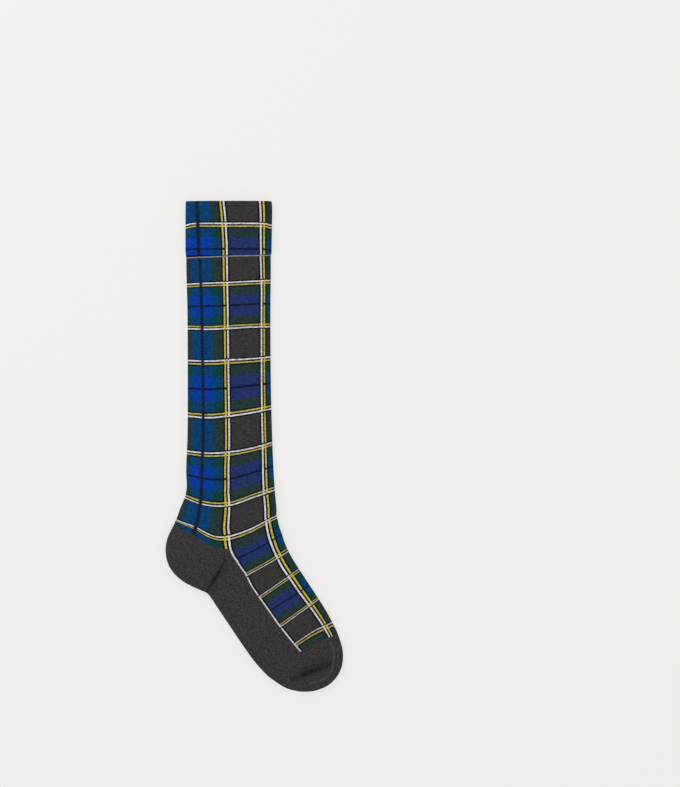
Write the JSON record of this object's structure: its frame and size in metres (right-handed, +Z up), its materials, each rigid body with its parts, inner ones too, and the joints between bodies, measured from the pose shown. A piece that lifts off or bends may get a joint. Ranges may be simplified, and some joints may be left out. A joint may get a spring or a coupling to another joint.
{
  "type": "knee-high sock",
  "caption": "Knee-high knitted sock lying flat on its side, with a turned cuff, tartan leg and instep, and plain heel, sole and toe.",
  "frame": {"origin": "under the middle of the lying sock's box, on the surface that it lies on", "axes": "+Y along the leg toward the cuff, +Z up from the surface that the sock lies on, toe toward +X and -Y"},
  "size_m": [0.1866, 0.5154, 0.012],
  "materials": {
    "tartan_cuff": "fine knit, tartan of blue, green and charcoal with yellow and white lines",
    "tartan_leg": "fine knit, tartan of blue, green and charcoal with yellow and white lines",
    "charcoal_heel": "fine knit, charcoal marl",
    "tartan_instep": "fine knit, tartan of blue, green and charcoal with yellow and white lines",
    "charcoal_sole": "fine knit, charcoal marl",
    "charcoal_toe": "fine knit, charcoal marl",
    "seam_yarn": "linked yarn ridge"
  },
  "bodies": {
    "root": {"cuff": "tartan_cuff", "leg": "tartan_leg", "heel": "charcoal_heel", "instep": "tartan_instep", "sole": "charcoal_sole", "toe": "charcoal_toe", "toe_seam": "seam_yarn"}
  },
  "joints": []
}
